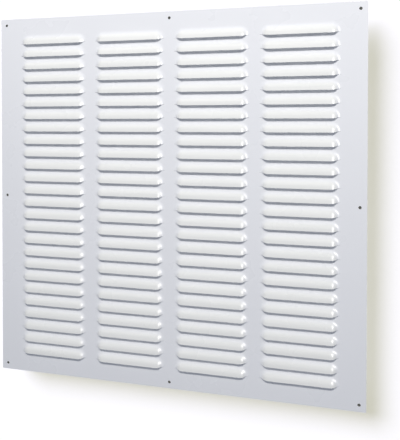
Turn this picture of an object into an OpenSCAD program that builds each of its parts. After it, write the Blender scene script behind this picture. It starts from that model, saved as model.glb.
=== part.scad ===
// Ventilation grille: one square sheet with a field of pressed louvres.
// X runs to the right, Y into the wall and Z up. The back face lies on Y = 0.

/* [Sheet] */
// Width and height of the square sheet
side = 500; // [480:5:600]
// Thickness of the sheet
sheet_t = 0.8; // [0.6:0.1:1.2]
// Radius of the sheet's four corners
corner_r = 1; // [0.5:0.5:5]

/* [Louvre field] */
// Rows of louvres
rows = 26; // [4:1:26]
// Columns of louvres
columns = 4; // [1:1:4]
// Bare sheet above the first row
field_margin_top = 22.7; // [20:0.1:24]
// Bare sheet below the last lip
field_margin_bottom = 27; // [24:0.5:28]
// Bare sheet on either side of the field
field_margin_x = 32.5; // [20:0.5:60]
// Bare sheet between two columns
column_gap = 15.6; // [12:0.2:24]

/* [Louvre] */
// Height from the lip up to the foot of the upper bend
louvre_h = 14; // [12.5:0.5:14.5]
// How far the crown stands out of the sheet's front
louvre_out = 5; // [4:0.5:5.5]
// Width of the bend that runs over the top and round both ends
bend_w = 10; // [8:0.5:10]
// How much higher the lip is at its ends than at its middle
lip_lift = 1.6; // [1:0.2:3]
// Gap that the blade leaves along the cut
cut_gap = 0.3; // [0.2:0.1:0.5]

/* [Fixing holes] */
// Diameter of the holes
hole_d = 4; // [3:0.5:6]
// Distance from a hole's centre to the edge
hole_inset = 8.5; // [6:0.5:12]

/* [Hidden] */
$fn = 48;
louvre_l = (side - 2 * field_margin_x - (columns - 1) * column_gap) / columns;
column_pitch = louvre_l + column_gap;
row_pitch = (side - field_margin_top - field_margin_bottom - louvre_h) / (rows - 1);
first_column_x = -(columns - 1) / 2 * column_pitch;
first_lip_z = side / 2 - field_margin_top - louvre_h;
hole_reach = side / 2 - hole_inset;
// The bend is one arc, from the flat crown down to the sheet's front.
crown_r = (bend_w * bend_w + louvre_out * louvre_out) / (2 * louvre_out);
// Where a louvre's outline turns its upper corners
turn_x = louvre_l / 2 - bend_w;
turn_z = louvre_h - bend_w;
// A louvre's form starts inside the sheet, and the hollow behind it starts past the back face.
form_root = sheet_t / 2;
hollow_root = 1.5 * sheet_t;
// The foot is sunk this far, so that it crosses the sheet's face and doesn't only touch it.
sink = 0.02;

// Area under the bend, from the crown at x = 0 to the foot at x = bend_w, with y out of the sheet.
// skin is 0 for the outer face, and the sheet's thickness for the inner one.
module bend_section(skin, root) {
    intersection() {
        translate([0, louvre_out - crown_r]) circle(crown_r - skin);
        translate([0, -root]) square([bend_w, louvre_out + root]);
    }
}

// Puts its child at one louvre, whose middle is on X = 0 and whose lip is on Z = 0.
// The louvre's left half is the mirror image of its right half.
module at_louvre(column, row, side_sign) {
    translate([first_column_x + column * column_pitch, 0, first_lip_z - row * row_pitch])
        scale([side_sign, 1, 1]) children();
}

// Everything above one row's cut, which leans so that a lip hangs lowest where it stands out most
module above_cut(root, drop) {
    cut_low = -drop;
    cut_high = lip_lift * (1 + root / louvre_out) - drop;
    translate([-side / 2, 0, 0]) rotate([0, -90, 180]) linear_extrude(side)
        polygon([
            [cut_low, louvre_out], [cut_low, louvre_out + 1], [louvre_h + 1, louvre_out + 1],
            [louvre_h + 1, -root - 1], [cut_high + lip_lift / louvre_out, -root - 1]
        ]);
}

// The forms of all louvres. One loop holds every half, so that all are joined in one step.
module louvre_forms(skin, root, drop) {
    translate([0, sink - sheet_t, 0]) intersection() {
        for (column = [0:columns - 1], row = [0:rows - 1], side_sign = [-1, 1]) {
            // The flat crown
            at_louvre(column, row, side_sign) translate([0, skin - louvre_out, -1])
                cube([turn_x, louvre_out - skin + root, turn_z + 1]);
            // The bend above the crown
            at_louvre(column, row, side_sign) translate([0, 0, turn_z]) rotate([0, -90, 180])
                linear_extrude(turn_x) bend_section(skin, root);
            // The bend round the upper corner
            at_louvre(column, row, side_sign) translate([turn_x, 0, turn_z]) rotate([90, 0, 0])
                rotate_extrude(angle = 90) bend_section(skin, root);
            // The bend down the end
            at_louvre(column, row, side_sign) translate([turn_x, 0, turn_z]) rotate([180, 0, 0])
                linear_extrude(turn_z + 1) bend_section(skin, root);
        }
        for (row = [0:rows - 1]) translate([0, 0, first_lip_z - row * row_pitch]) above_cut(root, drop);
    }
}

// The flat sheet, with its front on Y = -sheet_t
module flat_sheet() {
    straight = side - 2 * corner_r;
    rotate([90, 0, 0]) linear_extrude(sheet_t) {
        square([side, straight], center = true);
        square([straight, side], center = true);
        for (x = [-1, 1], z = [-1, 1])
            translate([x * straight / 2, z * straight / 2]) circle(corner_r);
    }
}

// Holes at the corners and at the middle of each side
module fixing_holes() {
    for (x = [-1:1], z = [-1:1])
        if (x != 0 || z != 0)
            translate([x * hole_reach, 1, z * hole_reach]) rotate([90, 0, 0])
                cylinder(d = hole_d, h = sheet_t + 2);
}

module louvre_plate() {
    color("white") difference() {
        union() {
            flat_sheet();
            louvre_forms(0, form_root, 0);
        }
        louvre_forms(sheet_t, hollow_root, cut_gap);
        fixing_holes();
    }
}

louvre_plate();
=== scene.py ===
# %% [markdown]
# # A pressed ventilation grille
#
# The real object is one square of thin sheet metal. A tool with many short blades cuts a row of
# slits and pushes the metal above each slit outwards, so that every louvre is a shallow hood whose
# mouth looks down. The sheet is then drilled for its screws and powder coated white. Nothing on it
# moves. This lesson rebuilds the pressed surface as one formula, gives it the coat, and puts it in
# front of a pale backdrop.

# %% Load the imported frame
import math

import bmesh
import bpy
import numpy as np
from mathutils import Matrix, Vector
from mathutils.geometry import delaunay_2d_cdt


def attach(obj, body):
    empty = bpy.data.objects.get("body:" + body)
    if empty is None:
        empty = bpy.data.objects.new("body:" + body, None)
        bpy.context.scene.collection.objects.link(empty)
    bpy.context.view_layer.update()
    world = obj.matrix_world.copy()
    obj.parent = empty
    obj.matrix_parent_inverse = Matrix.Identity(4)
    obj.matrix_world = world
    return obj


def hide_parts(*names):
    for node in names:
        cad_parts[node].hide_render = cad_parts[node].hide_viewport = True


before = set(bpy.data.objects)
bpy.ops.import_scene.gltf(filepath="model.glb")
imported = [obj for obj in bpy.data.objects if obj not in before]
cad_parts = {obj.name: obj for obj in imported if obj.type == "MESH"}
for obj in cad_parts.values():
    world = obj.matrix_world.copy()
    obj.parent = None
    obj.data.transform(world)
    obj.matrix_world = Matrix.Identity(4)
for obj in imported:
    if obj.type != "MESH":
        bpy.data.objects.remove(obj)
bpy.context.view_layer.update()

# %% [markdown]
# ## The camera
#
# A photograph of a flat square fixes where its camera stood. The upright edges run together
# slightly towards the bottom and the left edge is the shorter one, so the camera stood to the right
# of the middle and a little above it, and was turned to the left. The lens is given by the focal
# length in pixels, and the shift moves the frame without turning the camera, as a cropped
# photograph does. A camera could also be turned by eye until it fits, but a matrix built from two
# named angles can be read, and changed, one angle at a time.

# %% Camera
PHOTO_WIDTH, PHOTO_HEIGHT = 400, 440
FOCAL_PIXELS = 616.0
OPTICAL_AXIS = (172.2, 133.1)
SENSOR_WIDTH = 36.0
CAMERA_PLACE = (0.2302, -0.7811, 0.1026)
CAMERA_YAW, CAMERA_PITCH = 0.2820, -0.0160


def camera_turn(yaw, pitch):
    """Columns right, up and back of a camera that is turned left by yaw and up by pitch."""
    forward = Vector((-math.sin(yaw) * math.cos(pitch), math.cos(yaw) * math.cos(pitch), math.sin(pitch)))
    right = Vector((math.cos(yaw), math.sin(yaw), 0.0))
    return Matrix((right, right.cross(forward), -forward)).transposed()


lens = bpy.data.cameras.new("photo_lens")
lens.sensor_width = SENSOR_WIDTH
lens.lens = FOCAL_PIXELS / PHOTO_HEIGHT * SENSOR_WIDTH
lens.shift_x = (PHOTO_WIDTH / 2 - OPTICAL_AXIS[0]) / PHOTO_HEIGHT
lens.shift_y = (OPTICAL_AXIS[1] - PHOTO_HEIGHT / 2) / PHOTO_HEIGHT
lens.clip_start, lens.clip_end = 0.01, 50.0
camera = bpy.data.objects.new("photo_camera", lens)
turn = camera_turn(CAMERA_YAW, CAMERA_PITCH)
camera.matrix_world = Matrix.Translation(CAMERA_PLACE) @ turn.to_4x4()
bpy.context.collection.objects.link(camera)
bpy.context.scene.camera = camera
print("Lens", round(lens.lens, 2), "mm, shift", round(lens.shift_x, 3), round(lens.shift_y, 3))

# %% [markdown]
# ## The sizes of the sheet
#
# These are the sizes that the press and the drill would be set to, in millimetres. The sheet, its
# holes, the rows and the lips have the same numbers as in the CAD model. The louvres differ in three
# small ways. Their bends end in a hollow foot, their ends run out a little further, and their faces
# lean back by a fraction of their depth.

# %% Sizes in millimetres
SIDE = 500.0
SHEET = 0.8
CORNER = 1.0
ROWS, COLUMNS = 26, 4
MARGIN_X, COLUMN_GAP = 31.0, 12.6
MARGIN_TOP, MARGIN_BOTTOM = 22.7, 27.0
LOUVRE_HEIGHT, LOUVRE_OUT = 14.0, 4.98
TOP_BEND, END_BEND, FOOT_SHARE = 11.0, 12.5, 0.42
LEAN = 0.25
LIP_LIFT, CUT_GAP = 1.6, 0.3
HOLE_RADIUS, HOLE_INSET = 2.0, 8.5

LOUVRE_LENGTH = (SIDE - 2 * MARGIN_X - (COLUMNS - 1) * COLUMN_GAP) / COLUMNS
COLUMN_PITCH = LOUVRE_LENGTH + COLUMN_GAP
ROW_PITCH = (SIDE - MARGIN_TOP - MARGIN_BOTTOM - LOUVRE_HEIGHT) / (ROWS - 1)
COLUMN_MIDDLES = (np.arange(COLUMNS) - (COLUMNS - 1) / 2) * COLUMN_PITCH
LIP_LEVELS = -SIDE / 2 + MARGIN_BOTTOM + np.arange(ROWS) * ROW_PITCH
HALF_LENGTH = LOUVRE_LENGTH / 2
TURN_X, TURN_Z = HALF_LENGTH - END_BEND, LOUVRE_HEIGHT - TOP_BEND
print("Louvre", round(LOUVRE_LENGTH, 2), "mm long, rows", round(ROW_PITCH, 2), "mm apart")

# %% [markdown]
# ## How far the metal stands out
#
# Seen from the front, a louvre is a rectangle with round upper corners. The metal climbs over a
# strip along its top and a slightly wider one at its two ends. The climb is an S of two arcs: a
# tight hollow one at the foot, where the sheet leaves the flat, and a wide one that rolls over into
# the crown. One function of the distance from the outline therefore gives the whole pressed form.
# The two arcs meet where both have the same slope, so no crease shows there. A bevelled box could
# give a similar hood, but not the hollow foot, and a formula keeps every louvre exactly alike.

# %% The climb of the bend
BOTH_RADII = (TOP_BEND**2 + LOUVRE_OUT**2) / (2 * LOUVRE_OUT)
FOOT_RADIUS = FOOT_SHARE * BOTH_RADII
CROWN_RADIUS = BOTH_RADII - FOOT_RADIUS
MEETING_SLOPE = math.asin(TOP_BEND / BOTH_RADII)
MEETING = TOP_BEND - FOOT_RADIUS * math.sin(MEETING_SLOPE)


def climb(away):
    """Height over the flat sheet, at a distance away from where the crown begins.

    Up to the meeting point it is the crown's circle: out - (R - sqrt(R^2 - away^2)).
    From there to the foot it is the hollow circle: r - sqrt(r^2 - (bend - away)^2).
    """
    away = np.clip(away, 0.0, TOP_BEND)
    crown = LOUVRE_OUT - CROWN_RADIUS + np.sqrt(CROWN_RADIUS**2 - np.minimum(away, MEETING) ** 2)
    into_foot = np.minimum(TOP_BEND - away, TOP_BEND - MEETING)
    foot = FOOT_RADIUS - np.sqrt(FOOT_RADIUS**2 - into_foot**2)
    return np.where(away <= MEETING, crown, foot)


def louvre_height(along, above):
    """Height of one louvre at a place along it from its middle, and above its lip.

    The distance from the crown is hypot(max(|along| - turn_x, 0) * top / end, max(above - turn_z, 0)),
    which turns the outline's upper corners round and draws the climb out along the louvre. The
    factor 1 - lean * above / height leans the whole form back, so that it stands out most at the lip.
    """
    past_end = np.maximum(np.abs(along) - TURN_X, 0.0) * TOP_BEND / END_BEND
    past_top = np.maximum(above - TURN_Z, 0.0)
    return climb(np.hypot(past_end, past_top)) * (1.0 - LEAN * above / LOUVRE_HEIGHT)


def lip_rise(along):
    """How much the lip rises towards the louvre's ends: lift * (1 - height / out) along the lip."""
    return LIP_LIFT * (1.0 - louvre_height(along, 0.0) / LOUVRE_OUT)


steepest = round(math.degrees(MEETING_SLOPE), 1)
print("Crown radius", round(CROWN_RADIUS, 2), "mm, steepest slope", steepest, "degrees")

# %% [markdown]
# ## The field of louvres
#
# The field is a stack of bands, each a grid of points. A louvre's band runs from its lip to its
# foot, and a flat band runs from there to the slit under the next lip. Both bands use the same
# upright lines, which lie close together where the ends bend. A lip and the slit behind it are
# separate lines of points, and beyond a louvre's ends they fall on each other. Merging points that
# coincide therefore joins the bands everywhere but along the cuts, just as in the real sheet. One
# louvre could also be modelled by hand and repeated with an Array modifier, but its edge would then
# have to be joined to the flat sheet at every copy.

# %% The upright lines of the field
END_STEPS = 10
# Flat sheet that the field takes in, beside the louvres and above and below them
BORDER_BESIDE, BORDER_ABOVE = 2.0, 3.0
# Places that are closer than this, in millimetres, count as one
SAME_PLACE = 1e-4
FIELD_EDGE_X = SIDE / 2 - MARGIN_X + BORDER_BESIDE
end_places = HALF_LENGTH - END_BEND * np.linspace(0, 1, END_STEPS + 1)
one_louvre = np.concatenate([-end_places, [0.0], end_places[::-1]])
upright_lines = np.unique(np.round((COLUMN_MIDDLES[:, None] + one_louvre[None, :]).ravel(), 6))
upright_lines = np.concatenate([[-FIELD_EDGE_X], upright_lines, [FIELD_EDGE_X]])
nearest_column = np.abs(upright_lines[:, None] - COLUMN_MIDDLES[None, :]).argmin(axis=1)
along_louvre = upright_lines - COLUMN_MIDDLES[nearest_column]
inside_louvre = np.abs(along_louvre) < HALF_LENGTH - SAME_PLACE
print(len(upright_lines), "upright lines")

# %% The bands
FIELD_LOW = -SIDE / 2 + MARGIN_BOTTOM - BORDER_ABOVE
FIELD_HIGH = SIDE / 2 - MARGIN_TOP + BORDER_ABOVE
# Levels of a louvre's points between its lip and its foot, closer together where the bend is
CLIMB_SHARES = np.array([0, 0.14, 0.3, 0.4, 0.5, 0.6, 0.7, 0.78, 0.86, 0.93, 1.0])


def louvre_band(lip_level):
    """Points from the lip to the foot: z = lip + rise + share * (height - rise), y = -sheet - height."""
    rise = lip_rise(along_louvre)
    above = rise[None, :] + CLIMB_SHARES[:, None] * (LOUVRE_HEIGHT - rise[None, :])
    out = np.where(inside_louvre[None, :], louvre_height(along_louvre[None, :], above), 0.0)
    across = np.broadcast_to(upright_lines, above.shape)
    return np.stack([across, -SHEET - out, lip_level + above], axis=-1)


def flat_band(low, lip_level_above):
    """Points of the flat strip from a level up to the slit of the next louvre, or up to the field's top."""
    slit = np.full(len(upright_lines), FIELD_HIGH)
    if lip_level_above is not None:
        slit = lip_level_above + LIP_LIFT - np.where(inside_louvre, CUT_GAP, 0.0)
    shares = np.array([0.0, 0.5, 1.0])[:, None]
    levels = low + shares * (slit[None, :] - low)
    across = np.broadcast_to(upright_lines, levels.shape)
    return np.stack([across, np.full(levels.shape, -SHEET), levels], axis=-1)


def band_faces(lines, points_per_line, first):
    """Four-cornered faces of a grid whose points are numbered line by line from first."""
    i, j = np.meshgrid(np.arange(lines - 1), np.arange(points_per_line - 1), indexing="ij")
    corner = first + i * points_per_line + j
    faces = np.stack([corner, corner + 1, corner + points_per_line + 1, corner + points_per_line], axis=-1)
    return faces.reshape(-1, 4)


field_bands = [flat_band(FIELD_LOW, LIP_LEVELS[0])]
for row in range(ROWS):
    field_bands.append(louvre_band(LIP_LEVELS[row]))
    next_lip = LIP_LEVELS[row + 1] if row + 1 < ROWS else None
    field_bands.append(flat_band(LIP_LEVELS[row] + LOUVRE_HEIGHT, next_lip))
field_points, field_faces, counted = [], [], 0
for band in field_bands:
    field_points.append(band.reshape(-1, 3))
    field_faces.append(band_faces(band.shape[0], band.shape[1], counted))
    counted += band.shape[0] * band.shape[1]
field_points, field_faces = np.concatenate(field_points), np.concatenate(field_faces)
print(len(field_faces), "faces in the field")

# %% [markdown]
# ## The rim with its screw holes
#
# Round the field the sheet is flat, with a hole at each corner and at the middle of each side. A
# flat region between given outlines is what a constrained Delaunay triangulation fills: it gets the
# sheet's outline, the eight circles, and the field's own outermost points, so that the rim and the
# field meet point to point. A Boolean could cut the holes too, but it is slower on a mesh of this
# size, and its result is harder to foresee.

# %% Outlines of the rim
HOLE_STEPS = 32
CORNER_POINTS = 5


def circle_points(middle_x, middle_z, radius, steps):
    """Points at equal angles on a circle: middle + radius * (cos a, sin a)."""
    angles = 2 * np.pi * np.arange(steps) / steps
    return np.stack([middle_x + radius * np.cos(angles), middle_z + radius * np.sin(angles)], axis=1)


def sheet_outline():
    """The square with its small round corners, counter-clockwise."""
    straight = SIDE / 2 - CORNER
    corners = [(straight, straight), (-straight, straight), (-straight, -straight), (straight, -straight)]
    arcs = []
    for number, (x, z) in enumerate(corners):
        angles = number * np.pi / 2 + np.linspace(0, np.pi / 2, CORNER_POINTS)
        arcs.append(np.stack([x + CORNER * np.cos(angles), z + CORNER * np.sin(angles)], axis=1))
    return np.concatenate(arcs)


left_side = np.concatenate([band[:, 0][:, [0, 2]] for band in field_bands])
left_side = left_side[np.concatenate([[True], np.diff(left_side[:, 1]) > SAME_PLACE])]
bottom_side = np.stack([upright_lines, np.full(len(upright_lines), FIELD_LOW)], axis=1)
top_side = np.stack([upright_lines, np.full(len(upright_lines), FIELD_HIGH)], axis=1)
right_side = left_side * (-1, 1)
field_outline = np.concatenate([bottom_side[:-1], right_side[:-1], top_side[:0:-1], left_side[:0:-1]])
reach = SIDE / 2 - HOLE_INSET
hole_middles = [(x * reach, z * reach) for x in (-1, 0, 1) for z in (-1, 0, 1) if x or z]
outlines = [sheet_outline(), field_outline]
outlines += [circle_points(x, z, HOLE_RADIUS, HOLE_STEPS) for x, z in hole_middles]
print(len(hole_middles), "holes,", len(field_outline), "points round the field")

# %% Fill the rim
# The kind of result is all triangles inside the outermost outline
ALL_TRIANGLES, NEARNESS = 0, 1e-7


def closed_edges(first, count):
    """Pairs of neighbouring points round one outline. The last pair closes it."""
    return [(first + k, first + (k + 1) % count) for k in range(count)]


rim_input, rim_edges = [], []
for outline in outlines:
    rim_edges += closed_edges(len(rim_input), len(outline))
    rim_input += [Vector(point) for point in outline.tolist()]
rim_plane, _, rim_triangles, _, _, _ = delaunay_2d_cdt(rim_input, rim_edges, [], ALL_TRIANGLES, NEARNESS)
rim_plane = np.array([tuple(point) for point in rim_plane])
rim_triangles = np.array(rim_triangles)
middles = rim_plane[rim_triangles].mean(axis=1)
in_field = np.abs(middles[:, 0]) < FIELD_EDGE_X
in_field &= (middles[:, 1] > FIELD_LOW) & (middles[:, 1] < FIELD_HIGH)
in_hole = np.zeros(len(middles), dtype=bool)
for x, z in hole_middles:
    in_hole |= np.hypot(middles[:, 0] - x, middles[:, 1] - z) < HOLE_RADIUS
rim_triangles = rim_triangles[~in_field & ~in_hole]
rim_points = np.stack([rim_plane[:, 0], np.full(len(rim_plane), -SHEET), rim_plane[:, 1]], axis=1)
print(len(rim_triangles), "triangles in the rim")

# %% [markdown]
# ## One sheet with two faces
#
# The front is now one open surface. Merging its coinciding points leaves it open only along the
# cuts, the holes and the outer edge. A Solidify modifier then gives it the sheet's thickness
# towards the back and closes those edges. A second surface could be offset with numpy, but its rims
# would then have to be stitched by hand. The modifier is applied, and edges sharper than 40 degrees
# are marked, so that the bends shade smoothly while the cut edges stay crisp.

# %% Join the front
MERGE_DISTANCE = 2e-6
front = bpy.data.meshes.new("pressed_front")
all_points = np.concatenate([field_points, rim_points]) / 1000.0
all_faces = field_faces.tolist() + (rim_triangles + len(field_points)).tolist()
front.from_pydata(all_points.tolist(), [], all_faces)
sheet_mesh = bmesh.new()
sheet_mesh.from_mesh(front)
bmesh.ops.remove_doubles(sheet_mesh, verts=sheet_mesh.verts, dist=MERGE_DISTANCE)
loose = [vert for vert in sheet_mesh.verts if not vert.link_faces]
bmesh.ops.delete(sheet_mesh, geom=loose, context="VERTS")
bmesh.ops.recalc_face_normals(sheet_mesh, faces=sheet_mesh.faces)
if sum(face.normal.y * face.calc_area() for face in sheet_mesh.faces) > 0:
    bmesh.ops.reverse_faces(sheet_mesh, faces=sheet_mesh.faces)
sheet_mesh.to_mesh(front)
sheet_mesh.free()
front.polygons.foreach_set("use_smooth", np.ones(len(front.polygons), dtype=bool))
print("Front:", len(front.vertices), "points,", len(front.polygons), "faces")

# %% Thicken and finish the sheet
CREASE_ANGLE = math.radians(40)
pressed_sheet = bpy.data.objects.new("pressed_sheet", front)
bpy.context.collection.objects.link(pressed_sheet)
thickness = pressed_sheet.modifiers.new("sheet_thickness", "SOLIDIFY")
thickness.thickness = SHEET / 1000.0
thickness.offset = -1.0
thickness.use_even_offset = True
thickness.use_rim = True
evaluated = pressed_sheet.evaluated_get(bpy.context.evaluated_depsgraph_get())
finished = bpy.data.meshes.new_from_object(evaluated)
pressed_sheet.modifiers.clear()
pressed_sheet.data = finished
finished.name = "pressed_sheet"
finished.set_sharp_from_angle(angle=CREASE_ANGLE)
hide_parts("louvre_plate")
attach(pressed_sheet, "root")
finished.calc_loop_triangles()
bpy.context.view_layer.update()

# %% [markdown]
# ## The white coat
#
# Powder coat is a baked plastic skin: not quite pure white, with a soft gloss, and with a fine
# orange-peel texture that breaks up its highlights. The sheet below is never quite flat, so wide,
# shallow waves run through the gloss too. The raised metal gets a touch warmer colour, which is
# painted warm light: it stands for the lamp above falling on the louvres, while the flat sheet keeps
# the coat's cooler white. The raised metal also has very faint streaks along the louvres. A ramp on
# the depth in Object coordinates picks the raised metal. The rest is noise on the same coordinates,
# so it stays in place from any side. A painted image could hold all this too, but it would need
# unwrapping, and noise has no seams.

# %% The coat and its helpers
white_coat = bpy.data.materials.new("white_powder_coat")
white_coat.use_nodes = True
tree = white_coat.node_tree
tree.nodes.clear()
output = tree.nodes.new("ShaderNodeOutputMaterial")
coat = tree.nodes.new("ShaderNodeBsdfPrincipled")
tree.links.new(coat.outputs["BSDF"], output.inputs["Surface"])
place = tree.nodes.new("ShaderNodeTexCoord")


def noise(scale, stretch, detail):
    """Fractal noise on Object coordinates, drawn out by a Mapping node."""
    mapping = tree.nodes.new("ShaderNodeMapping")
    mapping.inputs["Scale"].default_value = stretch
    texture = tree.nodes.new("ShaderNodeTexNoise")
    texture.inputs["Scale"].default_value = scale
    texture.inputs["Detail"].default_value = detail
    tree.links.new(place.outputs["Object"], mapping.inputs["Vector"])
    tree.links.new(mapping.outputs["Vector"], texture.inputs["Vector"])
    return texture.outputs["Fac"]


def ramp(value, low, high):
    """Spreads the noise's middle range from one colour to another."""
    node = tree.nodes.new("ShaderNodeValToRGB")
    node.color_ramp.elements[0].position = 0.3
    node.color_ramp.elements[1].position = 0.7
    node.color_ramp.elements[0].color = low
    node.color_ramp.elements[1].color = high
    tree.links.new(value, node.inputs["Fac"])
    return node.outputs["Color"]


def mixed(factor, low, high):
    """A colour between low and high, each of which is a colour or another node's output."""
    node = tree.nodes.new("ShaderNodeMix")
    node.data_type = "RGBA"
    tree.links.new(factor, node.inputs["Factor"])
    # The node has sockets of every data type. Its colours are inputs 6 and 7, and output 2.
    for socket, value in ((node.inputs[6], low), (node.inputs[7], high)):
        if isinstance(value, bpy.types.NodeSocket):
            tree.links.new(value, socket)
        else:
            socket.default_value = value
    return node.outputs[2]


def bump(height, strength, distance):
    """Tilts the normal by a height. Another bump can feed its Normal input."""
    node = tree.nodes.new("ShaderNodeBump")
    node.inputs["Strength"].default_value = strength
    node.inputs["Distance"].default_value = distance
    tree.links.new(height, node.inputs["Height"])
    return node


print("Coat reads", place.outputs["Object"].name, "coordinates")

# %% Colour of the coat
FLAT_TONE = (0.84, 0.842, 0.86, 1.0)
# Tones of the raised metal: faint streaks, warmed as painted warm light from the lamp above
STREAK_AND_PAINTED_WARMTH_TONES = ((0.83, 0.83, 0.80, 1.0), (0.88, 0.875, 0.845, 1.0))
# Depths in Object coordinates, in metres, where the painted warm light on the raised metal
# starts and where it is full
PAINTED_WARMTH_START, PAINTED_WARMTH_FULL = -0.0012, -0.0042
STREAK_STRETCH = (0.12, 1.0, 3.0)

axes = tree.nodes.new("ShaderNodeSeparateXYZ")
tree.links.new(place.outputs["Object"], axes.inputs["Vector"])
# Painted warm light: the warmer tone of the raised metal is mixed in by depth
painted_warmth_mask = tree.nodes.new("ShaderNodeMapRange")
painted_warmth_mask.inputs["From Min"].default_value = PAINTED_WARMTH_START
painted_warmth_mask.inputs["From Max"].default_value = PAINTED_WARMTH_FULL
tree.links.new(axes.outputs["Y"], painted_warmth_mask.inputs["Value"])
streaks_and_painted_warmth = ramp(noise(scale=60.0, stretch=STREAK_STRETCH, detail=3.0), *STREAK_AND_PAINTED_WARMTH_TONES)
tree.links.new(mixed(painted_warmth_mask.outputs["Result"], FLAT_TONE, streaks_and_painted_warmth), coat.inputs["Base Color"])
print("Colour:", len(tree.nodes), "nodes so far")

# %% Gloss and grain of the coat
EVEN = (1.0, 1.0, 1.0)
GLOSS_RANGE = ((0.24, 0.24, 0.24, 1.0), (0.34, 0.34, 0.34, 1.0))

gloss = ramp(noise(scale=14.0, stretch=EVEN, detail=4.0), *GLOSS_RANGE)
tree.links.new(gloss, coat.inputs["Roughness"])
waves = bump(noise(scale=9.0, stretch=EVEN, detail=1.0), strength=0.25, distance=0.002)
peel = bump(noise(scale=900.0, stretch=EVEN, detail=2.0), strength=0.12, distance=0.0002)
tree.links.new(waves.outputs["Normal"], peel.inputs["Normal"])
tree.links.new(peel.outputs["Normal"], coat.inputs["Normal"])
coat.inputs["IOR"].default_value = 1.5
finished.materials.clear()
finished.materials.append(white_coat)
print("White coat:", len(tree.nodes), "nodes")

# %% [markdown]
# ## The backdrop
#
# The photograph has a white ground with a soft shadow to the right and below, and something dark
# behind the screw holes. The backdrop stands a few centimetres behind the sheet, and bends into a
# floor below it. A dark card, a little smaller than the sheet, hangs close behind it. The card is
# painted shade: it darkens the screw holes and what shows through the slits, where the space behind
# the sheet lies in shade. Only the camera sees both, and only from their front, so the back of the
# grille can be looked at too and no light comes from them. A plain white plane would do for the
# wall, but it would throw light onto the sheet's back, and hide it from a camera that looks from
# behind.

# %% Backdrop, floor and the card of painted shade
WALL_BEHIND = 0.035
FLOOR_LEVEL = -0.75
SWEEP_RADIUS = 0.3
SWEEP_POINTS = 17
STAGE_REACH = 6.0
SHADE_CARD_BEHIND, SHADE_CARD_HALF = 0.001, 0.2455


def backdrop_profile():
    """A straight wall, a quarter circle and a straight floor, as (y, z) from top to front."""
    angles = np.linspace(0, np.pi / 2, SWEEP_POINTS)
    bend_y = WALL_BEHIND - SWEEP_RADIUS + SWEEP_RADIUS * np.cos(angles)
    bend_z = FLOOR_LEVEL + SWEEP_RADIUS - SWEEP_RADIUS * np.sin(angles)
    bend = np.stack([bend_y, bend_z], axis=1)
    return np.concatenate([[[WALL_BEHIND, STAGE_REACH]], bend, [[-STAGE_REACH, FLOOR_LEVEL]]])


def stage_sheet(name, profile, half_width):
    """A profile of (y, z) points drawn out along X, with its front towards -Y."""
    across = np.tile([-half_width, half_width], len(profile))
    points = np.stack([across, np.repeat(profile[:, 0], 2), np.repeat(profile[:, 1], 2)], axis=1)
    mesh = bpy.data.meshes.new(name)
    mesh.from_pydata(points.tolist(), [], band_faces(len(profile), 2, 0)[:, ::-1].tolist())
    mesh.polygons.foreach_set("use_smooth", np.ones(len(mesh.polygons), dtype=bool))
    piece = bpy.data.objects.new(name, mesh)
    bpy.context.collection.objects.link(piece)
    return piece


backdrop = stage_sheet("backdrop", backdrop_profile(), STAGE_REACH)
# Painted shade: a dark card just behind the sheet, which only the camera sees
shade_card_profile = np.array([[SHADE_CARD_BEHIND, SHADE_CARD_HALF], [SHADE_CARD_BEHIND, -SHADE_CARD_HALF]])
shade_card = stage_sheet("painted_shade_card", shade_card_profile, SHADE_CARD_HALF)
facing = [round(piece.data.polygons[0].normal.y, 2) for piece in (backdrop, shade_card)]
print("Backdrop and card face", facing, "along Y")

# %% Materials of the backdrop and the card of painted shade
PAPER_TONES = ((0.72, 0.72, 0.95, 1.0), (0.43, 0.405, 0.20, 1.0))
# Painted shade of the card: black under light, with a faint glow of dark grey
PAINTED_SHADE_TONES = ((0.0, 0.0, 0.0, 1.0), (0.10, 0.10, 0.09, 1.0))


def stage_material(name, lit_tone, shadow_tone):
    """Shadow tone, plus lit tone where a lamp reaches it. Only a camera in front of it sees it."""
    material = bpy.data.materials.new(name)
    material.use_nodes = True
    nodes, links = material.node_tree.nodes, material.node_tree.links
    nodes.clear()
    surface = nodes.new("ShaderNodeOutputMaterial")
    lit = nodes.new("ShaderNodeBsdfDiffuse")
    lit.inputs["Color"].default_value = lit_tone
    glow = nodes.new("ShaderNodeEmission")
    glow.inputs["Color"].default_value = shadow_tone
    both = nodes.new("ShaderNodeAddShader")
    clear = nodes.new("ShaderNodeBsdfTransparent")
    choose = nodes.new("ShaderNodeMixShader")
    ray = nodes.new("ShaderNodeLightPath")
    side_seen = nodes.new("ShaderNodeNewGeometry")
    front_only = nodes.new("ShaderNodeMath")
    front_only.operation = "SUBTRACT"
    front_only.use_clamp = True
    links.new(ray.outputs["Is Camera Ray"], front_only.inputs[0])
    links.new(side_seen.outputs["Backfacing"], front_only.inputs[1])
    links.new(lit.outputs["BSDF"], both.inputs[0])
    links.new(glow.outputs["Emission"], both.inputs[1])
    links.new(front_only.outputs["Value"], choose.inputs["Fac"])
    links.new(clear.outputs["BSDF"], choose.inputs[1])
    links.new(both.outputs["Shader"], choose.inputs[2])
    links.new(choose.outputs["Shader"], surface.inputs["Surface"])
    return material


backdrop.data.materials.append(stage_material("backdrop_paper", *PAPER_TONES))
shade_card.data.materials.append(stage_material("painted_shade_paper", *PAINTED_SHADE_TONES))
print("Stage materials:", backdrop.data.materials[0].name, "and", shade_card.data.materials[0].name)

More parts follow.
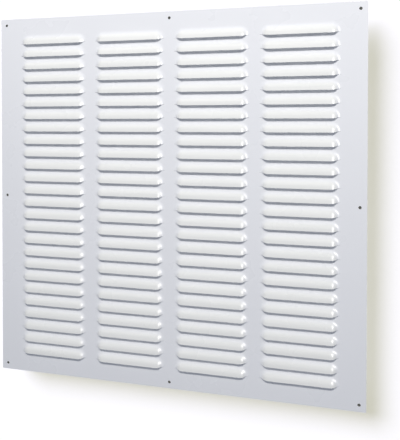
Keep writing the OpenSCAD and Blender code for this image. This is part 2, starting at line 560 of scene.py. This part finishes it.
# %% [markdown]
# ## The light
#
# A lamp above the sheet models the louvres: their upper bends catch it, and the metal below each
# lip stays in its shade. It is left out of the gloss, where it would draw hard lines along the
# bends. A tall narrow lamp far to the right does the opposite: it acts on the gloss alone, and puts
# the highlights on the louvres' right ends. A cool, even world light fills the rest, and mirror-like
# rays see the same white ground as the camera does. A weak lamp behind and below the sheet keeps its
# back readable, and from there hardly any of its light comes through the slits. The soft shadow on
# the backdrop comes from the upper left in the photograph, so a lamp of its own makes it: light
# linking keeps that lamp on the backdrop, and keeps the others off it.

# %% World
FILL_TONE, FILL_STRENGTH = (0.74, 0.82, 1.0, 1.0), 0.29
WHITE = (1.0, 1.0, 1.0, 1.0)
world = bpy.data.worlds.new("studio")
bpy.context.scene.world = world
world.use_nodes = True
sky = world.node_tree
sky.nodes.clear()
sky_output = sky.nodes.new("ShaderNodeOutputWorld")
sky_ray = sky.nodes.new("ShaderNodeLightPath")


def even_light(color, strength):
    """A background of one colour."""
    node = sky.nodes.new("ShaderNodeBackground")
    node.inputs["Color"].default_value = color
    node.inputs["Strength"].default_value = strength
    return node.outputs["Background"]


def either(first, second):
    """1 where a ray is of either kind, because it is the larger of the two values."""
    node = sky.nodes.new("ShaderNodeMath")
    node.operation = "MAXIMUM"
    sky.links.new(first, node.inputs[0])
    sky.links.new(second, node.inputs[1])
    return node.outputs["Value"]


mirror_ray = either(sky_ray.outputs["Is Glossy Ray"], sky_ray.outputs["Is Transmission Ray"])
white_ray = either(sky_ray.outputs["Is Camera Ray"], mirror_ray)
pick = sky.nodes.new("ShaderNodeMixShader")
sky.links.new(white_ray, pick.inputs["Fac"])
sky.links.new(even_light(FILL_TONE, FILL_STRENGTH), pick.inputs[1])
sky.links.new(even_light(WHITE, 1.0), pick.inputs[2])
sky.links.new(pick.outputs["Shader"], sky_output.inputs["Surface"])
print("World fill:", FILL_STRENGTH)

# %% Lamps
WARM_WHITE, COOL_WHITE, PLAIN_WHITE = (1.0, 0.985, 0.96), (0.88, 0.93, 1.0), (1.0, 1.0, 1.0)
SHEET_MIDDLE = (0.0, 0.0, 0.0)
SHADOW_SOFTNESS = math.radians(38)

on_object = bpy.data.collections.new("lit_object")
on_object.objects.link(pressed_sheet)
on_backdrop = bpy.data.collections.new("lit_backdrop")
on_backdrop.objects.link(backdrop)


def aimed_lamp(name, kind, place, target, energy, color, receivers):
    """A lamp at a place that looks at a target, and lights only the given collection."""
    data = bpy.data.lights.new(name, kind)
    data.energy = energy
    data.color = color
    lamp = bpy.data.objects.new(name, data)
    lamp.location = place
    lamp.rotation_euler = (Vector(target) - Vector(place)).to_track_quat("-Z", "Y").to_euler()
    lamp.light_linking.receiver_collection = receivers
    bpy.context.collection.objects.link(lamp)
    return lamp


def area_lamp(name, place, target, energy, color, width, height):
    """A rectangular lamp that lights the grille alone."""
    lamp = aimed_lamp(name, "AREA", place, target, energy, color, on_object)
    lamp.data.shape = "RECTANGLE"
    lamp.data.size, lamp.data.size_y = width, height
    return lamp


key = area_lamp(
    "key_lamp", place=(0.20, -1.42, 1.15), target=(0.0, 0.0, 0.55),
    energy=27.0, color=WARM_WHITE, width=0.45, height=0.3,
)
key.visible_glossy = False
strip = area_lamp(
    "strip_lamp", place=(1.30, -1.65, 0.50), target=(0.0, 0.0, 0.20),
    energy=45.0, color=WARM_WHITE, width=0.14, height=1.1,
)
strip.visible_diffuse = False
back = area_lamp(
    "back_lamp", place=(-0.50, 1.50, -1.10), target=SHEET_MIDDLE,
    energy=14.0, color=COOL_WHITE, width=0.8, height=0.6,
)
shadow = aimed_lamp(
    "shadow_lamp", "SUN", place=(-0.7, -1.0, 0.87), target=SHEET_MIDDLE,
    energy=2.85, color=PLAIN_WHITE, receivers=on_backdrop,
)
shadow.data.angle = SHADOW_SOFTNESS
for lamp in (key, strip, back, shadow):
    print(lamp.name, lamp.data.type, round(lamp.data.energy, 2))

# %% The view transform
bpy.context.scene.view_settings.view_transform = "Standard"
